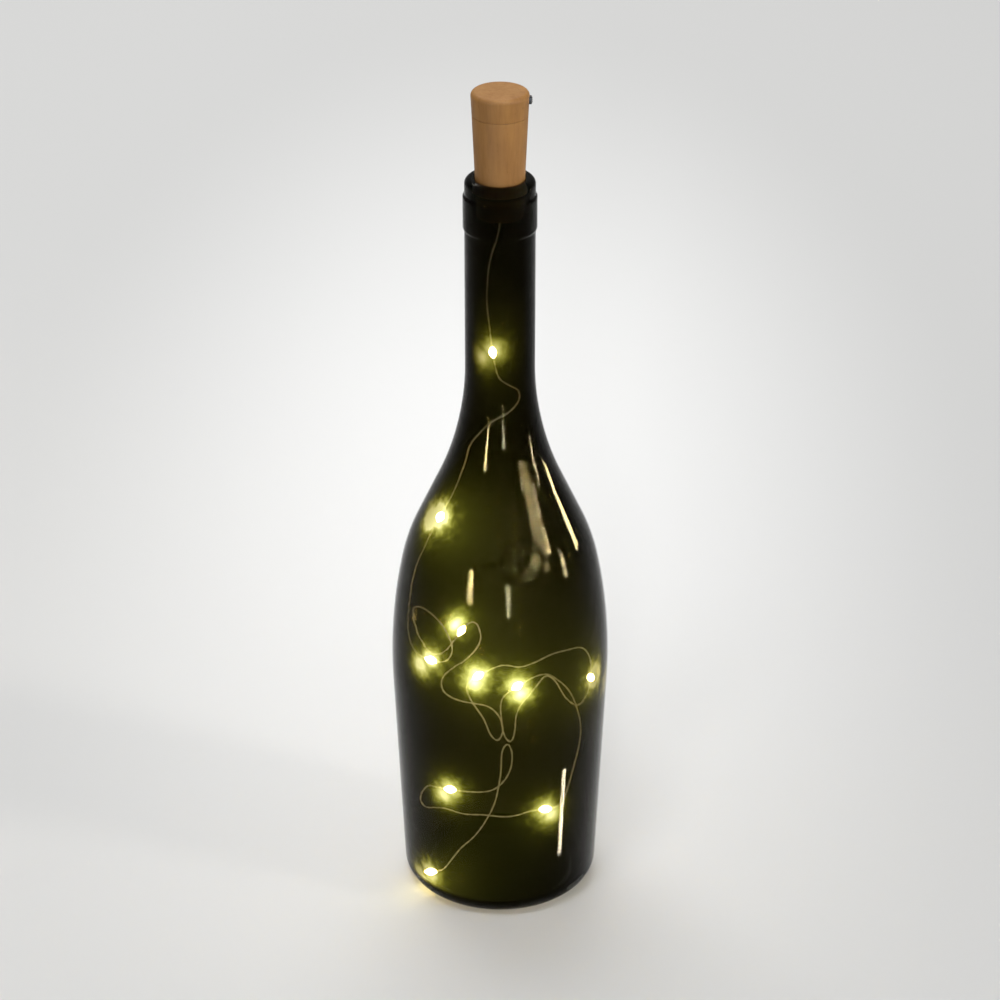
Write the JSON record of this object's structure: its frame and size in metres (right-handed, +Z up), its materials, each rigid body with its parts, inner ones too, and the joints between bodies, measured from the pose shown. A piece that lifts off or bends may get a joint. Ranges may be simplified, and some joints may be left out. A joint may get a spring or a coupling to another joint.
{
  "type": "bottle light",
  "caption": "Green glass wine bottle lit from inside by a wire string of small lights that hangs from a cork-shaped stopper with button cells and a slide switch.",
  "frame": {"origin": "centre of the bottle's base, on the surface it stands on", "axes": "+Z up along the bottle's axis; -Y towards the viewer, where the ornament and most of the lights are; +X to the viewer's right, where the switch is"},
  "size_m": [0.0866, 0.0866, 0.3418],
  "materials": {
    "green_glass": "glossy",
    "cork_look": "satin",
    "plug_rubber": "matte",
    "tray_plastic": "satin",
    "cell_metal": "satin",
    "contact_metal": "satin",
    "board": "satin",
    "resistor": "matte",
    "switch_plastic": "satin",
    "terminal_metal": "satin",
    "wire_metal": "satin",
    "clear_resin": "glossy",
    "led_light": "glossy"
  },
  "bodies": {
    "bottle": {"bottle_glass": "green_glass", "slack_wire": "wire_metal", "string_wire": "wire_metal", "led_bead_2": "clear_resin", "led_chip_2": "led_light", "led_bead_3": "clear_resin", "led_chip_3": "led_light", "led_bead_4": "clear_resin", "led_chip_4": "led_light", "led_bead_5": "clear_resin", "led_chip_5": "led_light", "led_bead_6": "clear_resin", "led_chip_6": "led_light", "led_bead_7": "clear_resin", "led_chip_7": "led_light", "led_bead_8": "clear_resin", "led_chip_8": "led_light", "led_bead_9": "clear_resin", "led_chip_9": "led_light", "led_bead_10": "clear_resin", "led_chip_10": "led_light"},
    "stopper": {"stopper_shell": "cork_look", "wire_plug": "plug_rubber", "inner_leads": "wire_metal", "lead_wire": "wire_metal", "led_bead_1": "clear_resin", "led_chip_1": "led_light"},
    "battery_tray": {"battery_tray": "tray_plastic", "button_cell_1": "cell_metal", "button_cell_2": "cell_metal", "button_cell_3": "cell_metal", "positive_contact": "contact_metal", "negative_contact": "contact_metal", "contact_strip": "contact_metal", "circuit_board": "board", "resistor": "resistor", "switch_case": "switch_plastic", "switch_terminals": "terminal_metal", "top_cap": "cork_look"},
    "switch_slider": {"switch_slider": "switch_plastic"}
  },
  "joints": [
    {"name": "stopper_pull", "type": "slide", "parent": "bottle", "child": "stopper", "axis": [0, 0, 1], "range_m": [0, 0.022], "deforming": ["slack_wire"]},
    {"name": "tray_pull", "type": "slide", "parent": "stopper", "child": "battery_tray", "axis": [0, 0, 1], "range_m": [0, 0.022], "deforming": ["inner_leads"]},
    {"name": "switch_slide", "type": "slide", "parent": "battery_tray", "child": "switch_slider", "axis": [0, -1, 0], "range_m": [0, 0.002]}
  ]
}
